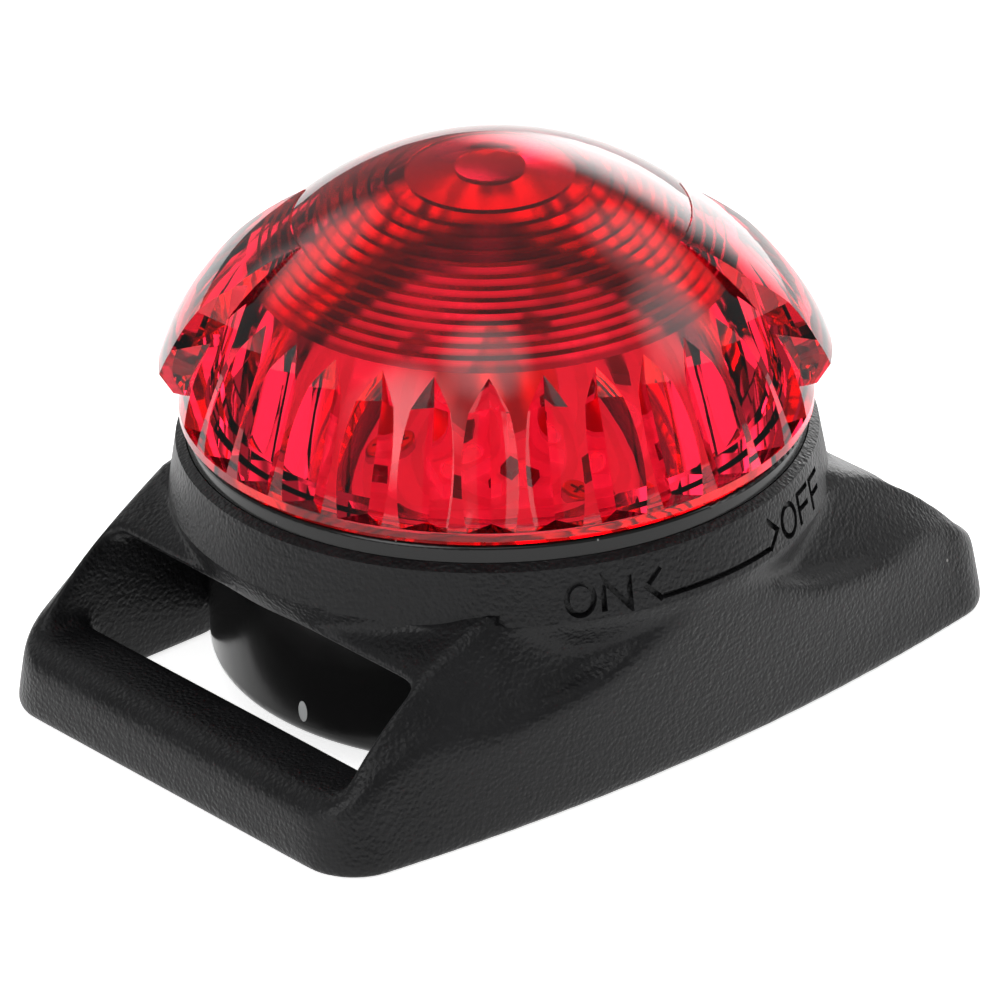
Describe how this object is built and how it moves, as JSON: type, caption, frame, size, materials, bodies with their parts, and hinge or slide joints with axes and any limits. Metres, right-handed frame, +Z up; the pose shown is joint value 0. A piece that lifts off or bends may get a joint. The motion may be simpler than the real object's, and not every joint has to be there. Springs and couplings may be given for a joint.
{
  "type": "strap-mounted warning light",
  "caption": "Small red warning light: fluted twist-on dome lens over coin cells and LEDs, on a black moulded base with a webbing slot at each end.",
  "frame": {"origin": "centre of the underside, on the surface that the base rests on", "axes": "+X along the strap from slot to slot, +Y across the strap, +Z up through the dome"},
  "size_m": [0.055, 0.0412, 0.0346],
  "materials": {
    "black_satin": "fine spark-eroded texture, satin",
    "black_gloss": "polished",
    "dot_ink": "matt ink",
    "red_lens": "clear red, polished",
    "seal_rubber": "greased rubber",
    "tray_plastic": "plain moulded",
    "cell_steel": "nickel plated",
    "cell_seal": "plain moulded",
    "contact_metal": "tin plated strip",
    "brass": "turned",
    "spring_steel": "drawn wire and strip",
    "screw_steel": "zinc plated",
    "board": "white solder mask",
    "led_white": "white moulded package",
    "led_clear": "clear resin",
    "mirror_cone": "metallised plastic",
    "chip_black": "moulded epoxy",
    "capacitor": "moulded",
    "washer": "slippery natural plastic"
  },
  "bodies": {
    "base": {"strap_base": "black_satin", "battery_cup": "black_gloss", "index_dot": "dot_ink", "cell_tray": "tray_plastic", "contact_plate": "contact_metal", "plate_rivets": "brass", "side_contact": "contact_metal", "lower_cell_can": "cell_steel", "lower_cell_cap": "cell_steel", "lower_cell_seal": "cell_seal", "upper_cell_can": "cell_steel", "upper_cell_cap": "cell_steel", "upper_cell_seal": "cell_seal", "lift_spring": "spring_steel"},
    "light_engine": {"board_carrier": "tray_plastic", "led_board": "board", "board_screws": "screw_steel", "led_packages": "led_white", "led_lenses": "led_clear", "beam_cone": "mirror_cone", "resistors": "chip_black", "controller_chip": "chip_black", "chip_legs": "contact_metal", "capacitors": "capacitor", "contact_ring": "contact_metal", "contact_stud": "brass", "thrust_washer": "washer"},
    "lens": {"lens_dome": "red_lens", "lens_seal_ring": "seal_rubber", "snap_ring": "spring_steel"}
  },
  "joints": [
    {"name": "engine_lift", "type": "slide", "parent": "base", "child": "light_engine", "axis": [0, 0, 1], "range_m": [0, 0.0005], "deforming": ["lift_spring"]},
    {"name": "lens_twist", "type": "hinge", "parent": "light_engine", "child": "lens", "pos_m": [0, 0, 0.0174], "axis": [0, 0, 1], "range_deg": [0, 75]}
  ],
  "couplings": [
    {"joint": "lens_twist", "follows": "engine_lift", "rad_per_m": 2617.9}
  ]
}
